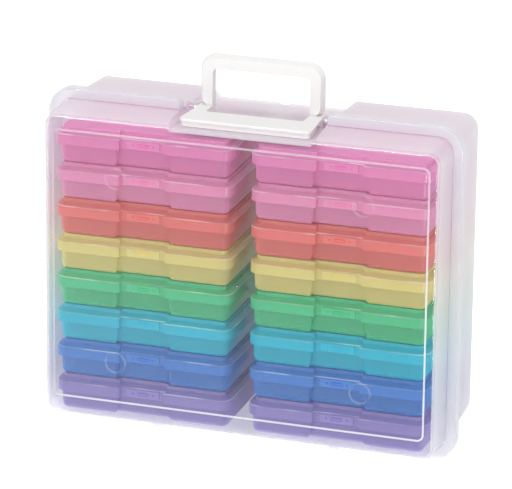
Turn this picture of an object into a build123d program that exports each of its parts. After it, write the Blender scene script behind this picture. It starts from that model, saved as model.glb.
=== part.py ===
from build123d import *
import math
import os

os.makedirs("parts", exist_ok=True)

# Photo keeper case, upright: X is the width, Y the depth (the front cover faces -Y), Z is up.
# The origin is the middle of the footprint, on the surface the case stands on. Millimetres.

# ---------------------------------------------------------------- outer case, driving sizes
rim_width = 384.0
rim_height = 309.8
rim_corner = 22.0
rim_stand_out = 9.2            # how far the rim stands out of the walls
rim_depth = 13.0               # both halves of the rim together
rim_wall = 2.2                 # skirt and plate of the hollow rim
rim_edge_round = 1.4
case_depth = 135.0
cover_depth = 46.0             # front cover, from its front face to the parting plane
parting_gap = 0.3
wall = 2.0
wall_corner = 14.0             # wall corners at the parting plane
cover_front_corner = 11.0
cover_side_draft = 1.0         # how much each wall leans in over the cover's depth
cover_top_draft = 4.6
shell_side_draft = 1.7         # and over the rear shell's depth
shell_top_draft = 3.7
shell_bottom_draft = 3.0
front_edge_round = 5.0
back_edge_round = 6.0

# ---------------------------------------------------------------- cover panel
panel_side_margin = 8.0
panel_top_margin = 12.0
panel_bottom_margin = 18.0
panel_corner = 6.5
panel_height = 0.7
panel_line = 1.6               # width of the raised line around the panel
boss_radius = 10.0
boss_height = 0.5
boss_line = 1.2
boss_x = 114.4
boss_low_z = 70.0
boss_high_z = 243.0
gate_z = 156.0                 # stub left by the moulding gate
gate_radius = 1.4
gate_height = 0.4

# ---------------------------------------------------------------- feet
foot_x = 83.0
foot_thickness = 3.6
foot_setback = 14.0            # from the front face, and from the back face
foot_round = 4.0

# ---------------------------------------------------------------- handle recess
recess_half = 64.0             # at the floor under the latch plate
recess_slope = 4.0             # the ends lean out by this much, then stand upright
recess_floor = 292.9
rear_recess_half = 60.0
rear_recess_slope = 8.0
rear_recess_floor = 287.3
rear_recess_start = 9.5        # behind the parting plane
drain_width = 10.0             # notch in the rear edge of the recess floor
drain_depth = 1.4
notch_round = 6.0              # upper corners of the rim beside the recess
runner_width = 3.0
runner_spacing = 110.0

# ---------------------------------------------------------------- handle and latch
pivot_z = 295.0
pivot_back = 21.0              # pivot axis behind the parting plane
trunnion_radius = 3.0
trunnion_length = 5.6
running_clearance = 0.06
pivot_gap = 0.5                # between an arm and its pivot block
pivot_block_radius = 6.4
arm_boss_radius = 5.4
arm_width = 12.3
loop_half_width = 57.5
loop_rise = 52.2               # from the pivot axis to the top of the loop
loop_band = 12.6
loop_depth = 9.0
loop_corner = 14.5
loop_inner_corner = 4.5
loop_bevel = 2.6               # depth of the slope round the loop's front edge
loop_bevel_width = 5.6         # and its width in front view
loop_edge_round = 2.0
plate_thickness = 2.5
plate_half_width = 61.0
plate_front = 52.0             # from the pivot axis to the plate's front edge
plate_strip = 29.0             # depth of the plate's front strip
plate_corner = 5.0
lip_inset = 1.3
lip_wall = 1.8
lip_clearance = 0.4            # above the recess floor
catch_height = 1.6             # ridge on the recess floor behind the lip
catch_width = 2.4
catch_half_length = 24.0

# ---------------------------------------------------------------- case hinge
hinge_z = 3.2
hinge_x = 128.0
knuckle_radius = 3.0
knuckle_clearance = 0.4
barrel_half = 8.0
lug_length = 6.5
hinge_pin_radius = 1.5
hinge_pin_length = 5.0
relief_angle = 62.0            # each half's lower edge is cut back by this angle from upright

# ---------------------------------------------------------------- inner print cases
rows = 8
case_pitch = 33.4
case_gap = 0.3                 # between one case and the next above it
stack_floor = 17.2             # underside of the lowest cases
column_gap = 16.0
lid_width = 166.2
lid_depth = 124.0
lid_front_gap = 3.0            # from the cover's inner face
lid_wall = 1.5
lid_corner = 11.0
lid_raise = 3.6                # the raised middle which carries the next case
lid_raise_inset = 5.6
lid_bevel = 2.8                # sloping shoulder round the raised middle
lid_bevel_inset = 4.6
lid_skirt = 9.2                # upright skirt below the shoulder
lid_edge_round = 0.7
tray_inset = 2.8               # tray wall inside the lid's outline
tray_wall = 1.5
tray_draft = 3.0               # degrees
tray_edge_round = 4.5
tray_bead = 3.0                # height of the thick bead under the lid
seat_gap = 0.2                 # tray bead to lid, above and around
notch_width = 42.6
notch_spread = 1.2             # the notch widens by this much on each side at the raised middle
notch_depth = 5.0
notch_corner = 2.2
tab_width = 30.9
tab_height = 7.2
tab_drop = 0.9                 # from the shoulder's edge down to the tab
tab_thickness = 1.4
tab_round = 1.2
tab_oval_width = 9.0
tab_oval_height = 2.6
tab_relief = 0.4
tab_dot_radius = 0.8
tab_dot_x = 9.5

# ---------------------------------------------------------------- places worked out from those
front_y = -case_depth / 2
back_y = case_depth / 2
parting_y = front_y + cover_depth
cover_back_y = parting_y - parting_gap
rim_front_y = parting_y - rim_depth / 2
rim_back_y = parting_y + rim_depth / 2
pivot_y = parting_y + pivot_back
hinge_y = parting_y - parting_gap / 2
wall_half = rim_width / 2 - rim_stand_out
wall_bottom = rim_stand_out
wall_top = rim_height - rim_stand_out
plate_top = pivot_z + arm_boss_radius
case_height = case_pitch - case_gap
lid_front_y = front_y + wall + lid_front_gap
lid_centre_y = lid_front_y + lid_depth / 2
column_x = (column_gap + lid_width) / 2
runner_top = stack_floor - case_gap
runner_front_y = rim_back_y
rear_recess_y = parting_y + rear_recess_start
catch_y = pivot_y - plate_front + lip_inset + lip_wall + catch_width
lug_pocket = lug_length + knuckle_clearance
lid_slope = lid_bevel / lid_bevel_inset
lid_drop = lid_wall * math.hypot(1, lid_slope)   # wall thickness under the shoulder, straight down


def outline_at(y):
    """Half width, bottom, top and corner radius of the case's outer wall at depth y."""
    if y <= parting_y:
        share = (parting_y - y) / cover_depth
        half = wall_half - cover_side_draft * share
        low = wall_bottom + cover_top_draft * share
        high = wall_top - cover_top_draft * share
        corner = wall_corner + (cover_front_corner - wall_corner) * share
    else:
        share = (y - parting_y) / (back_y - parting_y)
        half = wall_half - shell_side_draft * share
        low = wall_bottom + shell_bottom_draft * share
        high = wall_top - shell_top_draft * share
        corner = wall_corner
    return half, low, high, corner


def wall_section(y, inset):
    """The case's outline at depth y, moved inwards by inset."""
    half, low, high, corner = outline_at(y)
    with BuildSketch(Plane.XZ.offset(-y)) as section:
        with Locations((0, (low + high) / 2)):
            RectangleRounded(2 * (half - inset), high - low - 2 * inset, corner - inset)
    return section.sketch


def rim_section(y, inset):
    """The rim's outline at depth y, moved inwards by inset."""
    with BuildSketch(Plane.XZ.offset(-y)) as section:
        with Locations((0, rim_height / 2)):
            RectangleRounded(rim_width - 2 * inset, rim_height - 2 * inset, rim_corner - inset)
    return section.sketch


def rim_hollow(y):
    """The hollow of the rim: open at the parting plane, closed along the bottom and at the recess."""
    half, low, high, corner = outline_at(parting_y)
    with BuildSketch(Plane.XZ.offset(-y)) as section:
        add(rim_section(y, rim_wall))
        with Locations((0, (low + high) / 2)):
            RectangleRounded(2 * half, high - low, corner, mode=Mode.SUBTRACT)
        with Locations((0, low / 2)):
            Rectangle(rim_width, low + 2 * rim_wall, mode=Mode.SUBTRACT)
        with Locations((0, rim_height)):
            Rectangle(
                2 * (recess_half + recess_slope + rim_wall), 4 * rim_stand_out, mode=Mode.SUBTRACT
            )
    return section.sketch


def recess_section(y, half, slope, floor, inset):
    """A trough with leaning ends, open at the top; inset makes the wall around it."""
    top = rim_height + 2 * rim_stand_out
    bottom = floor - inset
    shoulder = floor + slope
    with BuildSketch(Plane.XZ.offset(-y)) as section:
        with BuildLine():
            Polyline(
                (-half - inset / 2, bottom),
                (half + inset / 2, bottom),
                (half + slope + inset, shoulder),
                (half + slope + inset, top),
                (-half - slope - inset, top),
                (-half - slope - inset, shoulder),
                close=True,
            )
        make_face()
    return section.sketch


def foot_section(x, y_start, y_end, free_end):
    """Side view of the foot rib at x: level with the rim's underside, round at its free end."""
    top = outline_at(free_end)[1] + 0.5 * wall
    with BuildSketch(Plane.YZ.offset(x - foot_thickness / 2)) as section:
        with Locations(((y_start + y_end) / 2, top / 2)):
            Rectangle(y_end - y_start, top)
        tip = section.vertices().sort_by_distance((x, free_end, 0))[0]
        fillet(tip, foot_round)
    return section.sketch


def relief_section():
    """The groove under the rim along the parting line, which lets the cover swing down."""
    reach = hinge_z * math.tan(math.radians(relief_angle))
    with BuildSketch(Plane.YZ.offset(-rim_width)) as section:
        with BuildLine():
            Polyline(
                (hinge_y - reach, 0),
                (hinge_y, hinge_z),
                (hinge_y + reach, 0),
                close=True,
            )
        make_face()
    return section.sketch


def hinge_disc(x, radius):
    """A disc round the case hinge's axis, standing at x."""
    with BuildSketch(Plane.YZ.offset(x)) as disc:
        with Locations((hinge_y, hinge_z)):
            Circle(radius)
    return disc.sketch


def panel_ring(width, height, centre_z, corner, line):
    """A thin raised line standing on the cover's front face."""
    with BuildSketch(Plane.XZ.offset(-front_y)) as ring:
        with Locations((0, centre_z)):
            RectangleRounded(width, height, corner)
            RectangleRounded(width - 2 * line, height - 2 * line, corner - line, mode=Mode.SUBTRACT)
    return ring.sketch


def rim_notch_corners(part, y_low, y_high):
    """The two upper corners which the recess leaves on a rim half, between two depths."""
    reach = recess_half + recess_slope
    return [
        edge
        for edge in part.edges().filter_by(Axis.Y)
        if abs(abs(edge.center().X) - reach) < 0.01
        and abs(edge.center().Z - rim_height) < 0.01
        and y_low - 0.01 < edge.center().Y < y_high + 0.01
    ]


def rim_outer_edges(part, y):
    """The long outer edge of a rim half, on its face away from the parting plane."""
    half, low, high, corner = outline_at(parting_y)
    return [
        edge
        for edge in part.edges()
        if abs(edge.center().Y - y) < 0.01
        and edge.bounding_box().size.Y < 0.01
        and (
            abs(edge.center().X) > half + 0.4 * rim_stand_out
            or edge.center().Z > high + 0.6 * rim_stand_out
            or edge.center().Z < 0.4 * low
        )
    ]


# ---------------------------------------------------------------- front cover
cover_face_y = front_y + panel_height
with BuildPart() as cover_cavity:
    loft(sections=[wall_section(cover_face_y + wall, wall), wall_section(parting_y, wall)], ruled=True)
    fillet(cover_cavity.faces().sort_by(Axis.Y)[0].edges(), front_edge_round - wall)
    extrude(
        recess_section(parting_y, recess_half, recess_slope, recess_floor, wall),
        amount=cover_depth,
        mode=Mode.SUBTRACT,
    )

with BuildPart() as front_cover:
    loft(sections=[wall_section(cover_face_y, 0), wall_section(cover_back_y, 0)], ruled=True)
    fillet(front_cover.faces().sort_by(Axis.Y)[0].edges(), front_edge_round)
    # rim, with its hollow facing the rear shell
    extrude(rim_section(cover_back_y, 0), amount=cover_back_y - rim_front_y)
    extrude(
        rim_hollow(cover_back_y), amount=cover_back_y - rim_front_y - rim_wall, mode=Mode.SUBTRACT
    )
    # latch recess through the wall and the rim
    extrude(
        recess_section(parting_y, recess_half, recess_slope, recess_floor, 0),
        amount=2 * cover_depth,
        mode=Mode.SUBTRACT,
    )
    fillet(rim_notch_corners(front_cover.part, rim_front_y, cover_back_y), notch_round)
    fillet(rim_outer_edges(front_cover.part, rim_front_y), rim_edge_round)
    # foot ribs
    for foot in (-foot_x, foot_x):
        free_end = front_y + foot_setback
        extrude(foot_section(foot, free_end, rim_front_y + rim_wall, free_end), amount=foot_thickness)
    add(cover_cavity.part, mode=Mode.SUBTRACT)
    # raised line round the panel, and four round bosses the cover lies on
    panel_width = 2 * (outline_at(front_y)[0] - panel_side_margin)
    panel_low = outline_at(front_y)[1] + panel_bottom_margin
    panel_high = outline_at(front_y)[2] - panel_top_margin
    panel_middle = (panel_low + panel_high) / 2
    panel = panel_ring(panel_width, panel_high - panel_low, panel_middle, panel_corner, panel_line)
    extrude(panel, amount=-2 * panel_height)
    with BuildSketch(Plane.XZ.offset(-cover_face_y)) as bosses:
        with Locations(*[(x, z) for x in (-boss_x, boss_x) for z in (boss_low_z, boss_high_z)]):
            Circle(boss_radius)
            Circle(boss_radius - boss_line, mode=Mode.SUBTRACT)
    extrude(bosses.sketch, amount=boss_height)
    with BuildSketch(Plane.XZ.offset(-cover_face_y)) as gate_stub:
        with Locations((0, gate_z)):
            Circle(gate_radius)
    extrude(gate_stub.sketch, amount=gate_height)
    # ridge which the latch's lip drops behind
    with BuildSketch(Plane.XY.offset(recess_floor)) as catch:
        with Locations((0, catch_y)):
            SlotOverall(2 * catch_half_length, catch_width)
    extrude(catch.sketch, amount=catch_height)
    # swing relief, pockets for the rear shell's lugs, then the barrels with their trunnions
    extrude(relief_section(), amount=2 * rim_width, mode=Mode.SUBTRACT)
    for station in (-hinge_x, hinge_x):
        for side in (-1, 1):
            pocket_start = station + side * (barrel_half + (lug_pocket if side < 0 else 0))
            extrude(
                hinge_disc(pocket_start, knuckle_radius + knuckle_clearance),
                amount=lug_pocket,
                mode=Mode.SUBTRACT,
            )
        barrel_start = station - barrel_half + knuckle_clearance
        extrude(hinge_disc(barrel_start, knuckle_radius), amount=2 * (barrel_half - knuckle_clearance))
        pin_start = station - barrel_half - hinge_pin_length
        extrude(hinge_disc(pin_start, hinge_pin_radius), amount=2 * (barrel_half + hinge_pin_length))
front_cover.part.label = "front_cover"
export_step(front_cover.part, "parts/front_cover.step")


# ---------------------------------------------------------------- rear shell
with BuildPart() as shell_cavity:
    loft(sections=[wall_section(parting_y, wall), wall_section(back_y - wall, wall)], ruled=True)
    fillet(shell_cavity.faces().sort_by(Axis.Y)[-1].edges(), back_edge_round - wall)
    extrude(
        recess_section(back_y, recess_half, recess_slope, recess_floor, wall),
        amount=back_y - parting_y,
        mode=Mode.SUBTRACT,
    )
    extrude(
        recess_section(back_y, rear_recess_half, rear_recess_slope, rear_recess_floor, wall),
        amount=back_y - rear_recess_y + wall,
        mode=Mode.SUBTRACT,
    )

with BuildPart() as rear_shell:
    loft(sections=[wall_section(parting_y, 0), wall_section(back_y, 0)], ruled=True)
    fillet(rear_shell.faces().sort_by(Axis.Y)[-1].edges(), back_edge_round)
    # rim, with its hollow facing the cover
    extrude(rim_section(rim_back_y, 0), amount=rim_back_y - parting_y)
    extrude(
        rim_hollow(rim_back_y - rim_wall), amount=rim_back_y - rim_wall - parting_y, mode=Mode.SUBTRACT
    )
    # handle recess: a shallow step under the plate, then the deeper trough for the folded loop
    extrude(
        recess_section(rim_back_y, recess_half, recess_slope, recess_floor, 0),
        amount=rim_back_y - parting_y,
        mode=Mode.SUBTRACT,
    )
    extrude(
        recess_section(back_y, rear_recess_half, rear_recess_slope, recess_floor, 0),
        amount=back_y - parting_y,
        mode=Mode.SUBTRACT,
    )
    extrude(
        recess_section(back_y, rear_recess_half, rear_recess_slope, rear_recess_floor, 0),
        amount=back_y - rear_recess_y,
        mode=Mode.SUBTRACT,
    )
    fillet(rim_notch_corners(rear_shell.part, parting_y, rim_back_y), notch_round)
    fillet(rim_outer_edges(rear_shell.part, rim_back_y), rim_edge_round)
    # foot ribs
    for foot in (-foot_x, foot_x):
        free_end = back_y - foot_setback
        extrude(foot_section(foot, rim_back_y - rim_wall, free_end, free_end), amount=foot_thickness)
    # pivot blocks for the handle's trunnions
    for side in (-1, 1):
        inner = loop_half_width + pivot_gap
        outer = rear_recess_half + rear_recess_slope + wall
        with BuildSketch(Plane.YZ.offset(inner if side > 0 else -outer)) as pivot_block:
            with Locations((pivot_y, pivot_z)):
                Circle(pivot_block_radius)
            with Locations((pivot_y, (pivot_z + rear_recess_floor) / 2)):
                Rectangle(2 * pivot_block_radius, pivot_z - rear_recess_floor)
        extrude(pivot_block.sketch, amount=outer - inner)
    add(shell_cavity.part, mode=Mode.SUBTRACT)
    for side in (-1, 1):
        inner = loop_half_width + pivot_gap
        with BuildSketch(Plane.YZ.offset(side * inner)) as pivot_bore:
            with Locations((pivot_y, pivot_z)):
                Circle(trunnion_radius + running_clearance)
        extrude(pivot_bore.sketch, amount=side * (trunnion_length + pivot_gap), mode=Mode.SUBTRACT)
    # notch in the rear edge of the trough
    with BuildSketch(Plane.XZ.offset(-back_y)) as drain:
        with Locations((0, rear_recess_floor)):
            Rectangle(drain_width, 2 * drain_depth)
    extrude(drain.sketch, amount=back_edge_round, mode=Mode.SUBTRACT)
    # floor runners which carry the lowest inner cases
    for column in (-1, 1):
        for offset in (-runner_spacing / 2, runner_spacing / 2):
            with BuildSketch(Plane.YZ.offset(column * column_x + offset - runner_width / 2)) as runner:
                with BuildLine():
                    Polyline(
                        (runner_front_y, outline_at(runner_front_y)[1] + wall / 2),
                        (back_y - wall, outline_at(back_y)[1] + wall / 2),
                        (back_y - wall, runner_top),
                        (runner_front_y, runner_top),
                        close=True,
                    )
                make_face()
            extrude(runner.sketch, amount=runner_width)
    # swing relief, pockets for the cover's barrels, then the lugs
    extrude(relief_section(), amount=2 * rim_width, mode=Mode.SUBTRACT)
    for station in (-hinge_x, hinge_x):
        extrude(
            hinge_disc(station - barrel_half, knuckle_radius + knuckle_clearance),
            amount=2 * barrel_half,
            mode=Mode.SUBTRACT,
        )
        for side in (-1, 1):
            lug_start = station + side * (barrel_half + (lug_length if side < 0 else 0))
            extrude(hinge_disc(lug_start, knuckle_radius), amount=lug_length)
            extrude(
                hinge_disc(lug_start, hinge_pin_radius + running_clearance),
                amount=lug_length,
                mode=Mode.SUBTRACT,
            )
rear_shell.part.label = "rear_shell"
export_step(rear_shell.part, "parts/rear_shell.step")


# ---------------------------------------------------------------- handle and latch, one moulding
plate_front_y = pivot_y - plate_front
strip_back_y = plate_front_y + plate_strip
arm_inner = loop_half_width - arm_width
loop_top = pivot_z + loop_rise
lip_bottom = recess_floor + lip_clearance
plate_bottom = plate_top - plate_thickness


def plate_outline(inset, y_back, half_back):
    """The latch plate seen from above, narrowing a little towards its pivots."""
    half_front = plate_half_width - inset
    with BuildSketch() as outline:
        with BuildLine():
            Polyline(
                (-half_front, plate_front_y + inset),
                (half_front, plate_front_y + inset),
                (half_back - inset, y_back),
                (-half_back + inset, y_back),
                close=True,
            )
        make_face()
        front_corners = outline.vertices().group_by(Axis.Y)[0]
        fillet(front_corners, plate_corner - inset)
    return outline.sketch


with BuildPart() as loop_body:
    with BuildSketch(Plane.XZ.offset(-pivot_y - loop_depth / 2)) as loop:
        with BuildLine():
            Polyline(
                (-loop_half_width, pivot_z),
                (loop_half_width, pivot_z),
                (loop_half_width, loop_top),
                (-loop_half_width, loop_top),
                close=True,
            )
        make_face()
        fillet(loop.vertices().group_by(Axis.Z)[-1], loop_corner)
    extrude(loop.sketch, amount=loop_depth)
    loop_face = loop_body.faces().sort_by(Axis.Y)[0]
    bevelled = loop_face.edges().sort_by(Axis.Z)[1:]
    chamfer(bevelled, loop_bevel, loop_bevel_width, reference=loop_face)
    rounded = loop_body.faces().sort_by(Axis.Y)[-1].edges().sort_by(Axis.Z)[1:]
    fillet(rounded, loop_edge_round)
    with BuildSketch(Plane.XZ.offset(-pivot_y - loop_depth)) as finger_gap:
        with BuildLine():
            Polyline(
                (-arm_inner, pivot_z - loop_depth),
                (arm_inner, pivot_z - loop_depth),
                (arm_inner, loop_top - loop_band),
                (-arm_inner, loop_top - loop_band),
                close=True,
            )
        make_face()
        fillet(finger_gap.vertices().group_by(Axis.Z)[-1], loop_inner_corner)
    extrude(finger_gap.sketch, amount=2 * loop_depth, mode=Mode.SUBTRACT)

with BuildPart() as handle_latch:
    # plate: front strip and the roots of the two arms
    narrow = loop_half_width
    extrude(
        Plane.XY.offset(plate_bottom) * plate_outline(0, pivot_y, narrow), amount=plate_thickness
    )
    fillet(handle_latch.faces().sort_by(Axis.Z)[-1].outer_wire().edges(), plate_thickness / 3)
    # lip round the front strip, set back under the plate's edge
    strip_half = plate_half_width - (plate_half_width - narrow) * plate_strip / plate_front
    lip_height = plate_bottom - lip_bottom
    extrude(
        Plane.XY.offset(lip_bottom) * plate_outline(lip_inset, strip_back_y, strip_half),
        amount=lip_height,
    )
    extrude(
        Plane.XY.offset(lip_bottom)
        * plate_outline(lip_inset + lip_wall, strip_back_y, strip_half),
        amount=lip_height,
        mode=Mode.SUBTRACT,
    )
    # opening between the arms
    with BuildSketch(Plane.XY.offset(plate_bottom)) as gap:
        with BuildLine():
            Polyline(
                (-arm_inner, strip_back_y),
                (arm_inner, strip_back_y),
                (arm_inner, pivot_y + arm_boss_radius),
                (-arm_inner, pivot_y + arm_boss_radius),
                close=True,
            )
        make_face()
        fillet(gap.vertices().group_by(Axis.Y)[0], plate_thickness)
    extrude(gap.sketch, amount=plate_thickness, mode=Mode.SUBTRACT)
    for side in (-1, 1):
        start = arm_inner if side > 0 else -loop_half_width
        with BuildSketch(Plane.YZ.offset(start)) as arm:
            with BuildLine():
                Line((strip_back_y, plate_bottom), (strip_back_y, plate_top))
                CenterArc((pivot_y, pivot_z), arm_boss_radius, 0, 360)
            make_hull()
        extrude(arm.sketch, amount=arm_width)
        with BuildSketch(Plane.YZ.offset(side * loop_half_width)) as trunnion:
            with Locations((pivot_y, pivot_z)):
                Circle(trunnion_radius)
        extrude(trunnion.sketch, amount=side * trunnion_length)
    add(loop_body.part)
handle_latch.part.label = "handle_latch"
export_step(handle_latch.part, "parts/handle_latch.step")


# ---------------------------------------------------------------- inner print cases
def case_outline(middle, z, inset, spread):
    """Plan of an inner case at height z, moved in by inset, its notch wider by spread on each side."""
    half_x = lid_width / 2 - inset
    half_y = lid_depth / 2 - inset
    half_notch = notch_width / 2 + spread
    with BuildSketch(Plane((middle, lid_centre_y, z))) as outline:
        RectangleRounded(2 * half_x, 2 * half_y, lid_corner - inset)
        with Locations((0, -half_y)):
            Rectangle(2 * half_notch, 2 * notch_depth, mode=Mode.SUBTRACT)
        corners = outline.vertices().filter_by(
            lambda vertex: abs(abs(vertex.X - middle) - half_notch) < 0.01
        )
        fillet(corners, notch_corner)
    return outline.sketch


def tray_cavity(middle, top, height):
    """The drafted space inside a tray, with round lower edges."""
    with BuildPart() as cavity:
        mouth = case_outline(middle, top, tray_inset + tray_wall, tray_inset + tray_wall)
        extrude(mouth, amount=tray_wall - height, taper=tray_draft)
        fillet(cavity.faces().sort_by(Axis.Z)[0].outer_wire().edges(), tray_edge_round - tray_wall)
    return cavity.part


def make_tray(name, middle, bottom):
    """Open box under a lid: drafted walls, round lower edges, a thick bead at the top."""
    top = bottom + case_height - lid_raise - lid_bevel - lid_drop + lid_slope * lid_wall - seat_gap
    height = top - bottom
    with BuildPart() as tray:
        extrude(case_outline(middle, top, tray_inset, tray_inset), amount=-height, taper=tray_draft)
        fillet(tray.faces().sort_by(Axis.Z)[0].outer_wire().edges(), tray_edge_round)
        bead_inset = lid_wall + seat_gap
        extrude(case_outline(middle, top, bead_inset, bead_inset), amount=-tray_bead)
        add(tray_cavity(middle, top, height), mode=Mode.SUBTRACT)
    tray.part.label = name
    export_step(tray.part, f"parts/{name}.step")


def lid_hollow(middle, shoulder_z, raised_z, top):
    """The space under a lid: straight in the skirt, sloping under the shoulder, then the raised part."""
    skirt_z = shoulder_z - lid_drop + lid_slope * lid_wall
    with BuildPart() as hollow:
        skirt_space = case_outline(middle, skirt_z, lid_wall, lid_wall)
        extrude(skirt_space, amount=-2 * lid_skirt)
        spread = notch_spread + lid_wall
        shoulder_space = case_outline(middle, raised_z - lid_drop, lid_bevel_inset, spread)
        loft(sections=[skirt_space, shoulder_space], ruled=True)
        inner = case_outline(middle, raised_z - lid_drop, lid_raise_inset + lid_wall, spread)
        extrude(inner, amount=top - lid_wall - raised_z + lid_drop)
    return hollow.part


def make_lid(name, middle, bottom):
    """Cap over a tray: skirt, sloping shoulder, raised middle, latch tab in the finger notch."""
    top = bottom + case_height
    raised_z = top - lid_raise
    shoulder_z = raised_z - lid_bevel
    with BuildPart() as lid:
        skirt = case_outline(middle, shoulder_z, 0, 0)
        extrude(skirt, amount=-lid_skirt)
        shoulder = case_outline(middle, raised_z, lid_bevel_inset, notch_spread)
        loft(sections=[skirt, shoulder], ruled=True)
        extrude(case_outline(middle, raised_z, lid_raise_inset, notch_spread), amount=lid_raise)
        fillet(lid.faces().sort_by(Axis.Z)[-1].outer_wire().edges(), lid_edge_round)
        add(lid_hollow(middle, shoulder_z, raised_z, top), mode=Mode.SUBTRACT)
        tab_y = lid_front_y + notch_depth
        tab_z = shoulder_z - tab_drop - tab_height / 2
        with BuildSketch(Plane((middle, tab_y, tab_z), x_dir=(1, 0, 0), z_dir=(0, -1, 0))) as tab:
            RectangleRounded(tab_width, tab_height, tab_round)
        extrude(tab.sketch, amount=tab_thickness)
        face = Plane((middle, tab_y - tab_thickness, tab_z), x_dir=(1, 0, 0), z_dir=(0, -1, 0))
        with BuildSketch(face) as relief:
            Ellipse(tab_oval_width / 2, tab_oval_height / 2)
            with Locations((-tab_dot_x, 0), (tab_dot_x, 0)):
                Circle(tab_dot_radius)
        extrude(relief.sketch, amount=tab_relief)
    lid.part.label = name
    export_step(lid.part, f"parts/{name}.step")


for column, side in (("left", -1), ("right", 1)):
    for row in range(1, rows + 1):
        case_bottom = stack_floor + (rows - row) * case_pitch
        make_tray(f"tray_{column}_{row}", side * column_x, case_bottom)
        make_lid(f"lid_{column}_{row}", side * column_x, case_bottom)
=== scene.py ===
# %% [markdown]
# A photo keeper case: a clear frosted outer case with a white handle, and sixteen small
# coloured boxes stacked inside it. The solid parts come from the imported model, which this
# script loads as a fixed frame. What is left to do here is the finish of each plastic, the
# fine marks of its moulding, and the light.

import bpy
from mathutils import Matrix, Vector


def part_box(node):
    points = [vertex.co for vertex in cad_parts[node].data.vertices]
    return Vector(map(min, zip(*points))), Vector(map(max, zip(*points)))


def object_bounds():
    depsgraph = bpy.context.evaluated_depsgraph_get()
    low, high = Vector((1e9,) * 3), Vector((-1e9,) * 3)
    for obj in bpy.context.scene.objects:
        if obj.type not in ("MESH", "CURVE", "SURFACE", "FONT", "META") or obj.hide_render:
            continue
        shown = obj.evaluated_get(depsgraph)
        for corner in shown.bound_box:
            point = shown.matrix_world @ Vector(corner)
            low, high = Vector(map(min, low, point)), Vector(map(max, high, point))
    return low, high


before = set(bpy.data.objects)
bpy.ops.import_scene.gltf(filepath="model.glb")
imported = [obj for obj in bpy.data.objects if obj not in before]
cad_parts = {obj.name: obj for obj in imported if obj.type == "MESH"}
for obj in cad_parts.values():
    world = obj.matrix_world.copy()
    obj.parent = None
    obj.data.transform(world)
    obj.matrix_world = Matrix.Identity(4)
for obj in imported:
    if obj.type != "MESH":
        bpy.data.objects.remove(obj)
cad_box = [list(corner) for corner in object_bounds()]

# %% Imports and the millimetre
import math

import bpy
from mathutils import Matrix, Vector

MM = 0.001
size = [round((high - low) / MM, 1) for low, high in zip(*cad_box)]
print("width, depth and height in mm:", size)


# %% [markdown]
# Colours are written as the sRGB hex values that a paint chart or a web page uses. Blender's
# sockets want linear light, so one function turns the one into the other. Another adds a
# shader node with its settings and links, which keeps each material short enough to read.

# %% Colour and node helpers
def linear(hex_colour):
    """Linear RGBA from an sRGB hex string."""
    channels = [int(hex_colour[i : i + 2], 16) / 255 for i in (1, 3, 5)]
    light = [c / 12.92 if c <= 0.04045 else ((c + 0.055) / 1.055) ** 2.4 for c in channels]
    return light + [1.0]


def add_node(tree, kind, settings=(), inputs=(), links=()):
    """A shader node with its properties, socket values and incoming links."""
    node = tree.nodes.new(kind)
    for name, value in dict(settings).items():
        setattr(node, name, value)
    for name, value in dict(inputs).items():
        node.inputs[name].default_value = value
    for name, source in dict(links).items():
        tree.links.new(source, node.inputs[name])
    return node


def new_material(name):
    """A material with an empty node tree and its output node."""
    material = bpy.data.materials.new(name)
    material.use_nodes = True
    material.node_tree.nodes.clear()
    output = add_node(material.node_tree, "ShaderNodeOutputMaterial")
    return material, material.node_tree, output


WHITE = linear("#FFFFFF")
print("white in linear light:", WHITE)


# %% [markdown]
# Every wall here is injection-moulded polypropylene, a slightly waxy plastic with an index
# of refraction of about 1.49. A thin wall of it does three things to light: most goes
# straight through and takes on the wall's tint, some is scattered on both sides as a milky
# veil, and a little is mirrored by the smooth surface. Ray-traced glass would bend the view
# and give dark edges, which a wall of 1.5 to 2 mm doesn't do. So each face mixes a tinted
# Transparent shader with a scattering one.
#
# The moulding leaves two marks on such a surface: a fine satin grain from the mould's steel,
# and slow patches of slightly denser plastic along its flow. Two noise textures give them.

# %% Noise of a moulded surface
GRAIN_MM = 2.5         # satin grain; the real one is finer, drawn coarse enough to show
FLOW_MM = 60.0         # patches left by the flow into the mould
NOISE_DETAIL = 2.0
FLOW_SWIRL = 0.4


def moulded_noise(tree, place):
    """Fine grain of the mould's surface, and slow streaks from the plastic's flow."""
    grain = add_node(
        tree,
        "ShaderNodeTexNoise",
        inputs={"Scale": 1 / (GRAIN_MM * MM), "Detail": NOISE_DETAIL, "Roughness": 0.5},
        links={"Vector": place},
    )
    flow = add_node(
        tree,
        "ShaderNodeTexNoise",
        inputs={
            "Scale": 1 / (FLOW_MM * MM),
            "Detail": NOISE_DETAIL,
            "Distortion": FLOW_SWIRL,
        },
        links={"Vector": place},
    )
    return grain.outputs["Fac"], flow.outputs["Fac"]


print("moulding grain:", GRAIN_MM, "mm, flow patches:", FLOW_MM, "mm")


# %% Moulded surface
POLISH_SPREAD = 0.15                     # the grain varies the roughness by this share
BUMP_STRENGTH, BUMP_MM = 0.05, 0.02      # the satin skin is almost flat


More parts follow.
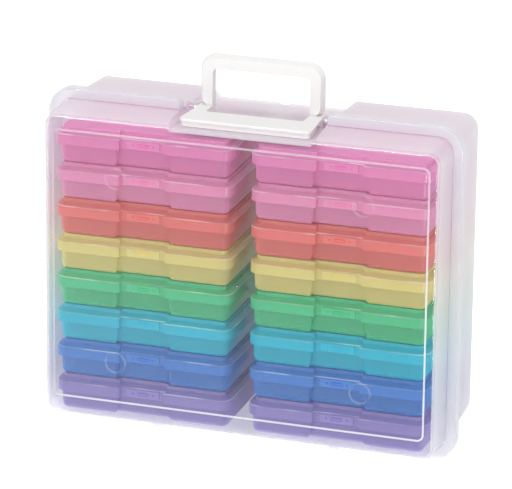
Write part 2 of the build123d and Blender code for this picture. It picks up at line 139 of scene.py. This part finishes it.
def moulded_surface(tree, place, colour, patchiness, roughness):
    """Colour with flow patches, roughness with grain, and a faint bump, as three sockets."""
    grain, flow = moulded_noise(tree, place)
    patches = add_node(
        tree,
        "ShaderNodeMapRange",
        inputs={"To Min": 1 - patchiness, "To Max": 1 + patchiness},
        links={"Value": flow},
    )
    tone = add_node(
        tree,
        "ShaderNodeMix",
        settings={"data_type": "RGBA", "blend_type": "MULTIPLY"},
        inputs={0: 1.0, 6: linear(colour)},
        links={7: patches.outputs["Result"]},
    )
    polish = add_node(
        tree,
        "ShaderNodeMapRange",
        inputs={
            "To Min": roughness * (1 - POLISH_SPREAD),
            "To Max": roughness * (1 + POLISH_SPREAD),
        },
        links={"Value": grain},
    )
    bump = add_node(
        tree,
        "ShaderNodeBump",
        inputs={"Strength": BUMP_STRENGTH, "Distance": BUMP_MM * MM},
        links={"Height": grain},
    )
    return tone.outputs[2], polish.outputs["Result"], bump.outputs["Normal"]


print("depth of the grain:", BUMP_MM, "mm")


# %% [markdown]
# How much a wall hides and mirrors depends on how it is turned. Seen edge on, light crosses
# more plastic, so the veil thickens, and the skin mirrors more, as all smooth surfaces do.
# Layer Weight tells how a face is turned. A wall has two faces and stacked walls have more,
# so they deepen each other's colour, as coloured film does. The Fresnel node would take the
# far side of a wall for the inside of solid plastic and turn it into a mirror, so the
# mirror's share comes from Layer Weight too.

# %% Mirror and veil by angle
FACE_GLOSS = 0.02                  # 4% at a polished face; the satin skin spreads half of it
GRAZING_GLOSS = 0.5
GRAZING_POWER = 5.0                # the mirror rises this steeply towards the edge
SQUARE_ON, EDGE_ON = 0.1, 0.9      # Layer Weight's values for square on and edge on


def mirror_by_angle(tree):
    """The share of light that the skin mirrors: little square on, half at grazing angles."""
    angle = add_node(tree, "ShaderNodeLayerWeight", inputs={"Blend": 0.5})
    grazing = add_node(
        tree,
        "ShaderNodeMath",
        settings={"operation": "POWER"},
        inputs={1: GRAZING_POWER},
        links={0: angle.outputs["Facing"]},
    )
    return add_node(
        tree,
        "ShaderNodeMapRange",
        inputs={"To Min": FACE_GLOSS, "To Max": GRAZING_GLOSS},
        links={"Value": grazing.outputs["Value"]},
    ).outputs["Result"]


def veil_by_angle(tree, facing_veil, edge_veil):
    """How much a wall hides: little when seen square on, more towards its edges."""
    angle = add_node(tree, "ShaderNodeLayerWeight", inputs={"Blend": 0.5})
    return add_node(
        tree,
        "ShaderNodeMapRange",
        inputs={
            "From Min": SQUARE_ON,
            "From Max": EDGE_ON,
            "To Min": facing_veil,
            "To Max": edge_veil,
        },
        links={"Value": angle.outputs["Facing"]},
    ).outputs["Result"]


print("mirrored share:", FACE_GLOSS, "square on,", GRAZING_GLOSS, "at grazing angles")


# %% Translucent wall
def see_through_wall(tree, output, surface, tint, glow, veil):
    """Tinted see-through wall under a scattering veil, with the mirror gloss of its skin."""
    tone, polish, normal = surface
    scattered = add_node(
        tree, "ShaderNodeBsdfDiffuse", links={"Color": tone, "Normal": normal}
    )
    lit_through = add_node(tree, "ShaderNodeBsdfTranslucent", links={"Color": tone})
    body = add_node(
        tree,
        "ShaderNodeMixShader",
        inputs={0: glow},
        links={1: scattered.outputs["BSDF"], 2: lit_through.outputs["BSDF"]},
    )
    clear = add_node(tree, "ShaderNodeBsdfTransparent", inputs={"Color": tint})
    wall = add_node(
        tree,
        "ShaderNodeMixShader",
        links={0: veil, 1: clear.outputs["BSDF"], 2: body.outputs["Shader"]},
    )
    gloss = add_node(
        tree,
        "ShaderNodeBsdfAnisotropic",
        links={"Roughness": polish, "Normal": normal},
    )
    skin = add_node(
        tree,
        "ShaderNodeMixShader",
        links={
            0: mirror_by_angle(tree),
            1: wall.outputs["Shader"],
            2: gloss.outputs["BSDF"],
        },
    )
    tree.links.new(skin.outputs["Shader"], output.inputs["Surface"])
    print("nodes in the wall's tree:", len(tree.nodes))


# %% [markdown]
# The outer case is clear polypropylene, polished on its broad faces and frosted on its rim.
# The hollow rim hides more than the thin walls, and so do the raised line around the front
# panel and the four round bosses, because light scatters at their edges. The line's veil is
# also partly a painted highlight, for the light its slopes catch. The shapes are in the solid
# model already. What the material adds is their veil, so it has to know where they are: the
# distance from a rounded rectangle tells each point whether it lies on one of them.

# %% Distances on the case's outlines
def fold(tree, place, middle, reach):
    """Fold a place about a middle, in width and height, and measure it from a reach."""
    centred = add_node(
        tree,
        "ShaderNodeVectorMath",
        settings={"operation": "SUBTRACT"},
        inputs={1: (middle[0] * MM, 0, middle[1] * MM)},
        links={0: place},
    )
    folded = add_node(
        tree,
        "ShaderNodeVectorMath",
        settings={"operation": "ABSOLUTE"},
        links={0: centred.outputs["Vector"]},
    )
    flat = add_node(
        tree,
        "ShaderNodeVectorMath",
        settings={"operation": "MULTIPLY"},
        inputs={1: (1, 0, 1)},
        links={0: folded.outputs["Vector"]},
    )
    return add_node(
        tree,
        "ShaderNodeVectorMath",
        settings={"operation": "SUBTRACT"},
        inputs={1: (reach[0] * MM, 0, reach[1] * MM)},
        links={0: flat.outputs["Vector"]},
    ).outputs["Vector"]


def spot_distance(tree, place, middle, reach=(0, 0)):
    """Distance in front view from a spot, or from the four spots at a reach from a middle."""
    return add_node(
        tree,
        "ShaderNodeVectorMath",
        settings={"operation": "LENGTH"},
        links={0: fold(tree, place, middle, reach)},
    ).outputs["Value"]


def corner_distance(tree, place, middle, half, corner):
    """Distance from a rounded rectangle's corner centres: the corner radius on its outline."""
    past = fold(tree, place, middle, (half[0] - corner, half[1] - corner))
    outside = add_node(
        tree,
        "ShaderNodeVectorMath",
        settings={"operation": "MAXIMUM"},
        inputs={1: (0, 0, 0)},
        links={0: past},
    )
    return add_node(
        tree,
        "ShaderNodeVectorMath",
        settings={"operation": "LENGTH"},
        links={0: outside.outputs["Vector"]},
    ).outputs["Value"]


# %% Lines on front faces, and the veil they raise
def front_band(tree, place, distance, middle, line, front):
    """1 where a distance lies within a line of some width, on faces in front of a depth."""
    in_line = add_node(
        tree,
        "ShaderNodeMath",
        settings={"operation": "COMPARE"},
        inputs={1: middle * MM, 2: line / 2 * MM},
        links={0: distance},
    )
    depth = add_node(tree, "ShaderNodeSeparateXYZ", links={0: place})
    at_front = add_node(
        tree,
        "ShaderNodeMath",
        settings={"operation": "LESS_THAN"},
        inputs={1: front * MM},
        links={0: depth.outputs["Y"]},
    )
    return add_node(
        tree,
        "ShaderNodeMath",
        settings={"operation": "MULTIPLY"},
        links={0: in_line.outputs["Value"], 1: at_front.outputs["Value"]},
    ).outputs["Value"]


def thicker(tree, veil, mask, amount):
    """Raise a veil to an amount where a mask says so."""
    raised = add_node(
        tree,
        "ShaderNodeMath",
        settings={"operation": "MULTIPLY"},
        inputs={1: amount},
        links={0: mask},
    )
    return add_node(
        tree,
        "ShaderNodeMath",
        settings={"operation": "MAXIMUM"},
        links={0: veil, 1: raised.outputs["Value"]},
    ).outputs["Value"]


# %% Rim, panel line and bosses of the clear case
WALL_MIDDLE, WALL_HALF, WALL_CORNER = (0, 154.9), (182.8, 145.7), 14.0
RIM_START = 0.5                          # the rim's frosting sets in over this distance
PANEL_MIDDLE, PANEL_HALF, PANEL_CORNER = (0, 157.9), (173.8, 126.1), 6.5
PANEL_LINE = 1.6
BOSS_MIDDLE, BOSS_REACH = (0, 156.5), (114.4, 86.5)
BOSS_RADIUS, BOSS_LINE = 10.0, 1.2
FRONT_FACE = -66.2
CASE_TONE, CASE_PATCHES, CASE_ROUGHNESS = "#F6F6F9", 0.01, 0.12

clear_frosted, tree, output = new_material("clear frosted polypropylene")
place = add_node(tree, "ShaderNodeTexCoord").outputs["Object"]
tone, polish, normal = moulded_surface(
    tree, place, CASE_TONE, CASE_PATCHES, CASE_ROUGHNESS
)
past_wall = corner_distance(tree, place, WALL_MIDDLE, WALL_HALF, WALL_CORNER)
on_rim = add_node(
    tree,
    "ShaderNodeMapRange",
    inputs={"From Min": WALL_CORNER * MM, "From Max": (WALL_CORNER + RIM_START) * MM},
    links={"Value": past_wall},
).outputs["Result"]
past_panel = corner_distance(tree, place, PANEL_MIDDLE, PANEL_HALF, PANEL_CORNER)
on_line = front_band(
    tree, place, past_panel, PANEL_CORNER - PANEL_LINE / 2, PANEL_LINE, FRONT_FACE
)
from_boss = spot_distance(tree, place, BOSS_MIDDLE, BOSS_REACH)
on_boss = front_band(
    tree, place, from_boss, BOSS_RADIUS - BOSS_LINE / 2, BOSS_LINE, FRONT_FACE
)
print("front panel in mm:", 2 * PANEL_HALF[0], "by", 2 * PANEL_HALF[1])

# %% [markdown]
# The panel's line catches less light towards the top and along its left side, so its share
# falls off there: this is painted shade. The rounded front edge of the case does the
# opposite: a thin bright band at one depth is painted on it as its highlight.

# %% Painted shade along the panel's line, and the painted highlight on the front edge
LINE_FADE = 0.5                          # the share of the line that is left at the top
SIDE_FADE, SIDE_REACH = 0.3, 12.0        # its share at the left, and how far that fades
EDGE_MIDDLE, EDGE_BAND = -65.4, 0.9      # depth of the rounded front edge, and its band of painted highlight

split = add_node(tree, "ShaderNodeSeparateXYZ", links={0: place})
line_height = add_node(
    tree,
    "ShaderNodeMapRange",
    inputs={
        "From Min": PANEL_MIDDLE[1] * MM,
        "From Max": (PANEL_MIDDLE[1] + PANEL_HALF[1]) * MM,
        "To Min": 1.0,
        "To Max": LINE_FADE,
    },
    links={"Value": split.outputs["Z"]},
)
line_side = add_node(
    tree,
    "ShaderNodeMapRange",
    inputs={
        "From Min": -PANEL_HALF[0] * MM,
        "From Max": (SIDE_REACH - PANEL_HALF[0]) * MM,
        "To Min": SIDE_FADE,
        "To Max": 1.0,
    },
    links={"Value": split.outputs["X"]},
)
# painted shade: the line's share falls off towards the top and towards the left
painted_line_shade = add_node(
    tree,
    "ShaderNodeMath",
    settings={"operation": "MULTIPLY"},
    links={0: line_side.outputs["Result"], 1: line_height.outputs["Result"]},
)
line_share = add_node(
    tree,
    "ShaderNodeMath",
    settings={"operation": "MULTIPLY"},
    links={0: on_line, 1: painted_line_shade.outputs["Value"]},
).outputs["Value"]
# painted highlight: a thin band at the depth of the rounded front edge
painted_front_highlight = add_node(
    tree,
    "ShaderNodeMath",
    settings={"operation": "COMPARE"},
    inputs={1: EDGE_MIDDLE * MM, 2: EDGE_BAND / 2 * MM},
    links={0: split.outputs["Y"]},
).outputs["Value"]
print("least share of the line:", SIDE_FADE * LINE_FADE)

# %% [markdown]
# The plastic was let into the mould at one point in the middle of the front. It leaves a
# short stub there, drawn as a dark spot with a painted highlight on it.

# %% Gate spot in the middle of the front
GATE_SPOT, GATE_RADIUS, GATE_GLINT = (0, 156), 1.4, 0.6
GATE_TONE = "#3C5A54"

from_gate = spot_distance(tree, place, GATE_SPOT)
on_gate = front_band(tree, place, from_gate, 0, 2 * GATE_RADIUS, FRONT_FACE)
painted_glint = front_band(tree, place, from_gate, 0, 2 * GATE_GLINT, FRONT_FACE)
# a dark spot, with a painted highlight in white at its middle
for colour, spot_mask in ((linear(GATE_TONE), on_gate), (WHITE, painted_glint)):
    tone = add_node(
        tree,
        "ShaderNodeMix",
        settings={"data_type": "RGBA"},
        inputs={7: colour},
        links={0: spot_mask, 6: tone},
    ).outputs[2]
print("gate spot:", 2 * GATE_RADIUS, "mm across")

# %% [markdown]
# Near the base the walls look clearer, because the bright table shines through them. So the
# veil is thinned there before the marks above are laid over it, each with a veil of its own.

# %% Veil of the clear case
CLEAR_VEIL, CLEAR_EDGE_VEIL = 0.005, 0.95
BASE_HEIGHT, BASE_SHARE = 40.0, 0.3      # below this height the veil falls, down to a share
RIM_VEIL, FRONT_HIGHLIGHT_VEIL, LINE_VEIL, BOSS_VEIL, GATE_VEIL = 0.4, 0.5, 0.85, 0.06, 0.8
CASE_TINT, CASE_GLOW = "#FEFEFF", 0.35   # glow: share of the veil's light from behind

clearing = add_node(
    tree,
    "ShaderNodeMapRange",
    inputs={"From Max": BASE_HEIGHT * MM, "To Min": BASE_SHARE, "To Max": 1.0},
    links={"Value": split.outputs["Z"]},
)
case_veil = add_node(
    tree,
    "ShaderNodeMath",
    settings={"operation": "MULTIPLY"},
    links={0: veil_by_angle(tree, CLEAR_VEIL, CLEAR_EDGE_VEIL), 1: clearing.outputs["Result"]},
).outputs["Value"]
# the line's veil is partly a painted highlight, and the front edge's veil is all painted
# highlight
for mask, amount in (
    (on_rim, RIM_VEIL),
    (painted_front_highlight, FRONT_HIGHLIGHT_VEIL),
    (line_share, LINE_VEIL),
    (on_boss, BOSS_VEIL),
    (on_gate, GATE_VEIL),
):
    case_veil = thicker(tree, case_veil, mask, amount)
see_through_wall(tree, output, (tone, polish, normal), linear(CASE_TINT), CASE_GLOW, case_veil)
print("material:", clear_frosted.name)


# %% [markdown]
# The inner boxes are the same plastic, dyed: magenta, rose, coral, yellow, green, cyan, blue
# and lilac from the top row to the bottom one. Seen square on, a face of a tray hides two
# fifths of what is behind it. A lid hides more, as its shoulder and skirt lie close together,
# so each row shows as a pale band over a deeper one. A row's colour still runs a little into
# its neighbours, which makes such a stack look like a rainbow.

# %% Dyes of the rows
ROW_COLOURS = {
    "magenta": "#FAA7D7",
    "rose": "#FDB4D8",
    "coral": "#FC978F",
    "yellow": "#F7EDA0",
    "green": "#68E2A9",
    "cyan": "#3ADBEF",
    "blue": "#5EA0E9",
    "lilac": "#ADA0DB",
}
ROW_PATCHES, ROW_ROUGHNESS, ROW_GLOW = 0.04, 0.15, 0.1
DYE_DEPTH = 0.12       # share of the dye's full colour that light picks up at each face
print("rows:", ", ".join(ROW_COLOURS))

# %% [markdown]
# Two finer marks show on every box. The sharp edge between a lid's shoulder and its skirt
# gets a painted highlight: a pale line, bright in some stretches and faint in others, where
# a slow noise breaks it up. The tab in the middle of each lid stands out from its skirt, so it
# looks denser, and it carries an oval and two dots, deeper in colour.

# %% Painted highlight on the edge of a lid
EDGE_DROP, EDGE_LINE = 6.4, 0.8          # the edge's distance below the lid's top, its width
GLINT_MM = 30.0                          # length of a stretch that catches the light
GLINT_FROM, GLINT_TO = 0.35, 0.6         # noise values between which the line brightens
FAINT_SHARE = 0.35                       # what is left of the line between the stretches


def painted_lid_glints(tree, place, height, lid_top):
    """The painted highlight along the shoulder's edge, as a mask that fades in stretches."""
    on_edge = add_node(
        tree,
        "ShaderNodeMath",
        settings={"operation": "COMPARE"},
        inputs={1: (lid_top - EDGE_DROP) * MM, 2: EDGE_LINE / 2 * MM},
        links={0: height},
    )
    stretches = add_node(
        tree,
        "ShaderNodeTexNoise",
        inputs={"Scale": 1 / (GLINT_MM * MM), "Detail": 0.0},
        links={"Vector": place},
    )
    catch = add_node(
        tree,
        "ShaderNodeMapRange",
        inputs={
            "From Min": GLINT_FROM,
            "From Max": GLINT_TO,
            "To Min": FAINT_SHARE,
            "To Max": 1.0,
        },
        links={"Value": stretches.outputs["Fac"]},
    )
    return add_node(
        tree,
        "ShaderNodeMath",
        settings={"operation": "MULTIPLY"},
        links={0: on_edge.outputs["Value"], 1: catch.outputs["Result"]},
    ).outputs["Value"]


print("lid edge:", EDGE_LINE, "mm wide, bright in stretches of about", GLINT_MM, "mm")


# %% Tab of a lid, with its oval and two dots
TAB_DROP, TAB_HALF, TAB_CORNER = 10.9, (15.45, 3.6), 1.2
TAB_FRONT = 4.4                          # tab faces lie less than this behind the lid's front
OVAL_HALF, OVAL_CORNER, OVAL_LINE = (5.4, 1.7), 1.7, 0.9
DOT_REACH, DOT_RADIUS = 9.5, 0.9


def tab_masks(tree, place, column_x, lid_top, front):
    """Masks of the tab's face and of the marks on it, on both columns of boxes at once."""
    from_column = fold(tree, place, (0, lid_top - TAB_DROP), (column_x, 0))
    past_tab = corner_distance(tree, from_column, (0, 0), TAB_HALF, TAB_CORNER)
    past_oval = corner_distance(tree, from_column, (0, 0), OVAL_HALF, OVAL_CORNER)
    from_dot = spot_distance(tree, from_column, (0, 0), (DOT_REACH, 0))
    marks = add_node(
        tree,
        "ShaderNodeMath",
        settings={"operation": "MAXIMUM"},
        links={
            0: front_band(
                tree, place, past_oval, OVAL_CORNER - OVAL_LINE / 2, OVAL_LINE, front
            ),
            1: front_band(tree, place, from_dot, 0, 2 * DOT_RADIUS, front),
        },
    ).outputs["Value"]
    return front_band(tree, place, past_tab, 0, 2 * TAB_CORNER, front), marks


print("tab:", 2 * TAB_HALF[0], "by", 2 * TAB_HALF[1], "mm")


# %% Dyed translucent polypropylene
TRAY_VEIL, LID_VEIL, BOX_EDGE_VEIL = 0.4, 0.55, 0.9
# veil and paleness of the painted highlight along a lid's edge
EDGE_VEIL, HIGHLIGHT_PALENESS = 0.75, 0.6
TAB_VEIL, MARK_VEIL = 0.68, 0.9

row_plastics = []
for row, (name, colour) in enumerate(ROW_COLOURS.items(), start=1):
    plastic, tree, output = new_material(f"{name} polypropylene")
    lid_low, lid_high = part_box(f"lid_right_{row}")
    column_x = (lid_low[0] + lid_high[0]) / 2 / MM
    lid_front, lid_top = lid_low[1] / MM, lid_high[2] / MM
    place = add_node(tree, "ShaderNodeTexCoord").outputs["Object"]
    height = add_node(tree, "ShaderNodeSeparateXYZ", links={0: place}).outputs["Z"]
    tone, polish, normal = moulded_surface(tree, place, colour, ROW_PATCHES, ROW_ROUGHNESS)
    on_edge = painted_lid_glints(tree, place, height, lid_top)
    on_tab, marks = tab_masks(tree, place, column_x, lid_top, lid_front + TAB_FRONT)
    # painted highlight: the edge turns paler, and the marks take the dye twice
    painted_highlight = add_node(
        tree,
        "ShaderNodeMath",
        settings={"operation": "MULTIPLY"},
        inputs={1: HIGHLIGHT_PALENESS},
        links={0: on_edge},
    )
    tone = add_node(
        tree,
        "ShaderNodeMix",
        settings={"data_type": "RGBA"},
        inputs={7: WHITE},
        links={0: painted_highlight.outputs["Value"], 6: tone},
    ).outputs[2]
    tone = add_node(
        tree,
        "ShaderNodeMix",
        settings={"data_type": "RGBA", "blend_type": "MULTIPLY"},
        links={0: marks, 6: tone, 7: tone},
    ).outputs[2]
    # a lid hides more than a tray, and its edge, tab and marks hide most; the edge's veil is
    # part of its painted highlight
    in_lid = add_node(
        tree,
        "ShaderNodeMath",
        settings={"operation": "GREATER_THAN"},
        inputs={1: lid_low[2]},
        links={0: height},
    ).outputs["Value"]
    veil = veil_by_angle(tree, TRAY_VEIL, BOX_EDGE_VEIL)
    for mask, amount in (
        (in_lid, LID_VEIL),
        (on_edge, EDGE_VEIL),
        (on_tab, TAB_VEIL),
        (marks, MARK_VEIL),
    ):
        veil = thicker(tree, veil, mask, amount)
    tint = [1 - DYE_DEPTH * (1 - channel) for channel in linear(colour)]
    see_through_wall(tree, output, (tone, polish, normal), tint, ROW_GLOW, veil)
    row_plastics.append(plastic)
    print("material:", plastic.name)


# %% [markdown]
# The handle is the same plastic with a white pigment, so no light comes through it. Where
# its plate overhangs the lip and in its inner corners, a thin warm line of painted shade
# darkens it. Ambient occlusion finds such creases on the mesh itself.

# %% Solid white polypropylene of the handle
PLASTIC_IOR = 1.49
HANDLE_TONE, HANDLE_PATCHES, HANDLE_ROUGHNESS = "#EBEAE9", 0.01, 0.4
PAINTED_SHADE_TONE = "#B9B3A8"
CREASE_MM, CREASE_SHADE = 3.0, 0.5       # reach of a crease, and how much painted shade it takes
CREASE_DEEP, CREASE_OPEN = 0.5, 0.95     # occlusion values of a full crease and of none

white_handle, tree, output = new_material("white polypropylene")
place = add_node(tree, "ShaderNodeTexCoord").outputs["Object"]
tone, polish, normal = moulded_surface(
    tree, place, HANDLE_TONE, HANDLE_PATCHES, HANDLE_ROUGHNESS
)
openness = add_node(
    tree,
    "ShaderNodeAmbientOcclusion",
    settings={"only_local": True},
    inputs={"Distance": CREASE_MM * MM},
)
painted_crease_shade = add_node(
    tree,
    "ShaderNodeMapRange",
    inputs={
        "From Min": CREASE_DEEP,
        "From Max": CREASE_OPEN,
        "To Min": CREASE_SHADE,
        "To Max": 0.0,
    },
    links={"Value": openness.outputs["AO"]},
)
# painted shade: creases that ambient occlusion finds are darkened towards a warm grey
tone = add_node(
    tree,
    "ShaderNodeMix",
    settings={"data_type": "RGBA"},
    inputs={7: linear(PAINTED_SHADE_TONE)},
    links={0: painted_crease_shade.outputs["Result"], 6: tone},
).outputs[2]
white_skin = add_node(
    tree,
    "ShaderNodeBsdfPrincipled",
    inputs={"IOR": PLASTIC_IOR},
    links={"Base Color": tone, "Roughness": polish, "Normal": normal},
)
tree.links.new(white_skin.outputs["BSDF"], output.inputs["Surface"])
print("material:", white_handle.name)


# %% [markdown]
# Each node of the model gets its plastic. The rear shell and the front cover share the clear
# one, and a box's tray and lid share the dye of their row.

# %% Give every node its plastic
def dress(node_name, material):
    """Put one material on a CAD node, leaving its mesh alone."""
    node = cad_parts[node_name]
    node.data.materials.clear()
    node.data.materials.append(material)


for shell in ("rear_shell", "front_cover"):
    dress(shell, clear_frosted)
dress("handle_latch", white_handle)
for column in ("left", "right"):
    for row, plastic in enumerate(row_plastics, start=1):
        dress(f"tray_{column}_{row}", plastic)
        dress(f"lid_{column}_{row}", plastic)
print("dressed nodes:", len(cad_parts))


# %% [markdown]
# The stage is a plain white table. It ends under the seam between the case's two halves, and
# a white floor lies lower in front, so that the front cover can swing down past the table's
# edge. Both are matt, and lit a little from below like a light table, so that the object's
# shadow stays soft and pale.

# %% Table and floor
FLOOR_WHITE = "#FAFAFA"
TABLE_GLOW = 0.3       # light that the table gives by itself
PAPER_LIFT = 0.2       # and what the camera sees on top of that

floor_material, tree, output = new_material("studio floor")
light_path = add_node(tree, "ShaderNodeLightPath")
painted = add_node(tree, "ShaderNodeBsdfDiffuse", inputs={"Color": linear(FLOOR_WHITE)})
seen_lift = add_node(
    tree,
    "ShaderNodeMath",
    settings={"operation": "MULTIPLY_ADD"},
    inputs={1: PAPER_LIFT, 2: TABLE_GLOW},
    links={0: light_path.outputs["Is Camera Ray"]},
)
lift = add_node(tree, "ShaderNodeEmission", links={"Strength": seen_lift.outputs["Value"]})
paper = add_node(
    tree,
    "ShaderNodeAddShader",
    links={0: painted.outputs["BSDF"], 1: lift.outputs["Emission"]},
)
tree.links.new(paper.outputs["Shader"], output.inputs["Surface"])
print("material:", floor_material.name)

# %% Shape of the stage
FLOOR_FRONT, FLOOR_BACK, FLOOR_HALF = -2.5, 3.0, 3.0
TABLE_EDGE, STEP_DOWN = -0.02, 0.3       # where the table ends, and how far it drops there

profile = (
    (FLOOR_FRONT, -STEP_DOWN),
    (TABLE_EDGE, -STEP_DOWN),
    (TABLE_EDGE, 0),
    (FLOOR_BACK, 0),
)
corners = [(x, y, z) for y, z in profile for x in (-FLOOR_HALF, FLOOR_HALF)]
quads = [(2 * i, 2 * i + 1, 2 * i + 3, 2 * i + 2) for i in range(len(profile) - 1)]
floor_mesh = bpy.data.meshes.new("floor")
floor_mesh.from_pydata(corners, [], quads)
floor = bpy.data.objects.new("floor", floor_mesh)
bpy.context.collection.objects.link(floor)
floor.data.materials.append(floor_material)
print("stage faces:", len(floor_mesh.polygons))


# %% [markdown]
# One large soft box in front and a weaker one above light the object almost without shadow.
# Each is a rectangle of light, as in a product studio. Three narrow strips show only as
# reflections: they leave thin bright lines along the rounded edges of the plastic. The world
# is white for the camera and for mirrored rays, and a little darker as a light.

# %% Studio lights
def soft_box(name, spot, aim, width, height, power):
    """A rectangular area light at a spot, turned towards a point."""
    lamp = bpy.data.lights.new(name, "AREA")
    lamp.shape = "RECTANGLE"
    lamp.size = width
    lamp.size_y = height
    lamp.energy = power
    holder = bpy.data.objects.new(name, lamp)
    holder.location = spot
    holder.rotation_euler = (Vector(aim) - Vector(spot)).to_track_quat("-Z", "Y").to_euler()
    bpy.context.collection.objects.link(holder)
    return holder


CASE_MIDDLE = Vector((0, 0, 0.155))
SOFT_BOXES = (                           # name, place, width, height and power
    ("top soft box", (0.0, -0.7, 1.6), 1.6, 0.3, 6),
    ("front soft box", (0.3, -2.3, 1.0), 2.6, 1.6, 17),
)
for name, spot, width, height, power in SOFT_BOXES:
    soft_box(name, spot, CASE_MIDDLE, width, height, power)
    print(name, power, "W")

# %% Strips that only their reflections show
STRIPS = (                               # name, place, width, height and power
    ("top strip", (-0.45, -1.0, 1.5), 0.9, 0.25, 30),
    ("right strip", (0.9, -0.8, 0.0), 0.14, 0.5, 9),
    ("left strip", (-1.4, -1.0, 0.0), 0.10, 0.5, 5),
)
for name, spot, width, height, power in STRIPS:
    strip = soft_box(name, spot, CASE_MIDDLE, width, height, power)
    strip.visible_diffuse = False
    strip.visible_transmission = False
    strip.visible_camera = False
    print(name, power, "W")

# %% World
AMBIENT, BACKDROP = 0.70, 1.0

world = bpy.data.worlds.new("studio")
bpy.context.scene.world = world
world.use_nodes = True
tree = world.node_tree
tree.nodes.clear()
path = add_node(tree, "ShaderNodeLightPath")
ambient, backdrop = (
    add_node(tree, "ShaderNodeBackground", inputs={"Color": WHITE, "Strength": strength})
    for strength in (AMBIENT, BACKDROP)
)
seen = add_node(
    tree,
    "ShaderNodeMath",
    settings={"operation": "MAXIMUM"},
    links={0: path.outputs["Is Camera Ray"], 1: path.outputs["Is Glossy Ray"]},
)
mixed = add_node(
    tree,
    "ShaderNodeMixShader",
    links={0: seen.outputs[0], 1: ambient.outputs[0], 2: backdrop.outputs[0]},
)
add_node(tree, "ShaderNodeOutputWorld", links={0: mixed.outputs[0]})
print("world:", AMBIENT, "as a light,", BACKDROP, "as the backdrop")

# %% [markdown]
# The camera stands to the right of the front, a little above it and tilted by half a degree.
# A long lens from over three metres keeps the case's upright edges nearly parallel. Its focal
# length is given in pixels of a render 512 wide, and the target's place in that render tells
# where the camera aims.

# %% Camera
AZIMUTH, ELEVATION, ROLL = math.radians(18.0), math.radians(19.005), math.radians(0.642)
DISTANCE = 3.3536
FOCAL_PIXELS = 3744.86
FRAME_WIDTH, SENSOR = 512, 36.0
TARGET = Vector((0, -0.0075, 0.155))
TARGET_RIGHT, TARGET_DOWN = 2.13, 22.54  # pixels from the render's middle to the target
CLIP_END = 20


def rolled_axes(away):
    """Right and up of a camera that looks against a direction, turned by its roll."""
    right = Vector((0, 0, 1)).cross(away).normalized()
    up = away.cross(right)
    return (
        right * math.cos(ROLL) + up * math.sin(ROLL),
        up * math.cos(ROLL) - right * math.sin(ROLL),
    )


back = Vector(
    (
        math.sin(AZIMUTH) * math.cos(ELEVATION),
        -math.cos(AZIMUTH) * math.cos(ELEVATION),
        math.sin(ELEVATION),
    )
)
eye = TARGET + back * DISTANCE
per_pixel = DISTANCE / FOCAL_PIXELS
right, up = rolled_axes(back)
aim = TARGET - right * TARGET_RIGHT * per_pixel + up * TARGET_DOWN * per_pixel
away = (eye - aim).normalized()
right, up = rolled_axes(away)
turn = Matrix((right, up, away)).transposed()

lens = bpy.data.cameras.new("camera")
lens.sensor_width = SENSOR
lens.lens = FOCAL_PIXELS / FRAME_WIDTH * SENSOR
lens.clip_end = CLIP_END
camera = bpy.data.objects.new("camera", lens)
camera.matrix_world = Matrix.Translation(eye) @ turn.to_4x4()
bpy.context.collection.objects.link(camera)
bpy.context.scene.camera = camera
print("lens:", round(lens.lens, 1), "mm at", round(DISTANCE, 2), "m")

# %% [markdown]
# The plain Standard view keeps colours as they are written. A ray on its way through the
# stack crosses dozens of see-through faces, so it is allowed many of them.

# %% View and see-through faces
FACES_CROSSED = 64
bpy.context.scene.view_settings.view_transform = "Standard"
bpy.context.scene.cycles.transparent_max_bounces = FACES_CROSSED
print("see-through faces a ray may cross:", FACES_CROSSED)
